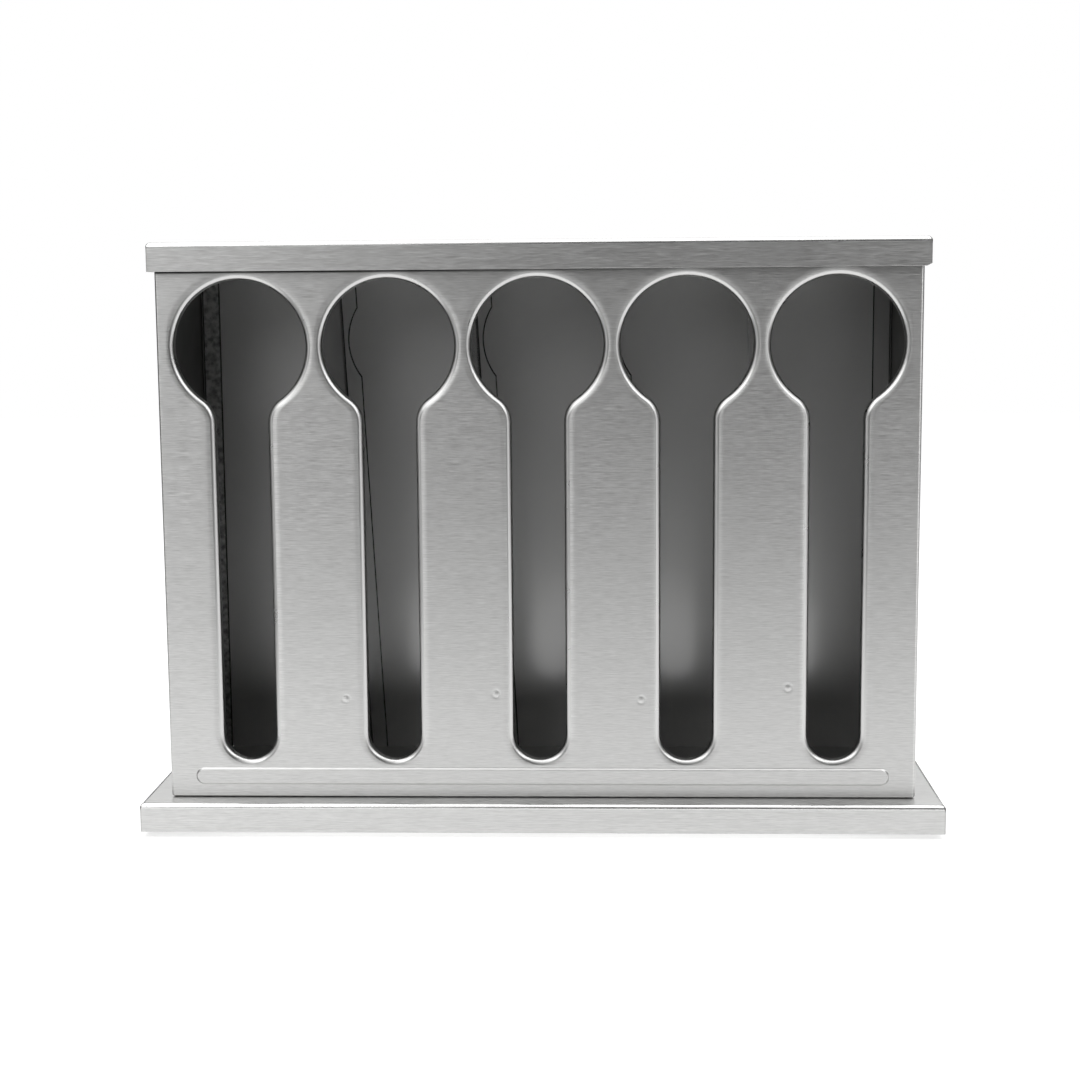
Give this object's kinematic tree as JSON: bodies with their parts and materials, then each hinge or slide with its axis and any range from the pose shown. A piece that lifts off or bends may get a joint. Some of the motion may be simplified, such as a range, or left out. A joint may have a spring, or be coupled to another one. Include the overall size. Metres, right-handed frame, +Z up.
{
  "type": "cutlery dispenser",
  "caption": "Countertop cutlery dispenser in brushed stainless sheet: upright compartments behind keyhole openings, a lift-off lid and a plinth on rubber feet.",
  "frame": {"origin": "under the middle of the plinth, on the surface that the feet stand on", "axes": "+Z up, +X along the row of openings to the right as seen from the front, +Y to the back; the openings face -Y"},
  "size_m": [0.536, 0.17, 0.395],
  "materials": {
    "brushed_stainless": "brushed along the width",
    "satin_stainless": "satin mill finish",
    "black_rubber": "moulded, matt",
    "zinc_steel": "zinc plated"
  },
  "bodies": {
    "body": {"front_panel": "brushed_stainless", "left_side_panel": "brushed_stainless", "right_side_panel": "brushed_stainless", "base_plinth": "brushed_stainless", "back_panel": "satin_stainless", "floor_panel": "satin_stainless", "divider_1": "satin_stainless", "divider_2": "satin_stainless", "divider_3": "satin_stainless", "divider_4": "satin_stainless", "front_feet": "black_rubber", "rear_feet": "black_rubber", "foot_screws": "zinc_steel", "foot_washers": "zinc_steel", "foot_nuts": "zinc_steel"},
    "lid": {"lid": "brushed_stainless"}
  },
  "joints": [
    {"name": "lid_lift", "type": "slide", "parent": "body", "child": "lid", "axis": [0, 0, 1], "range_m": [0, 0.12]}
  ]
}
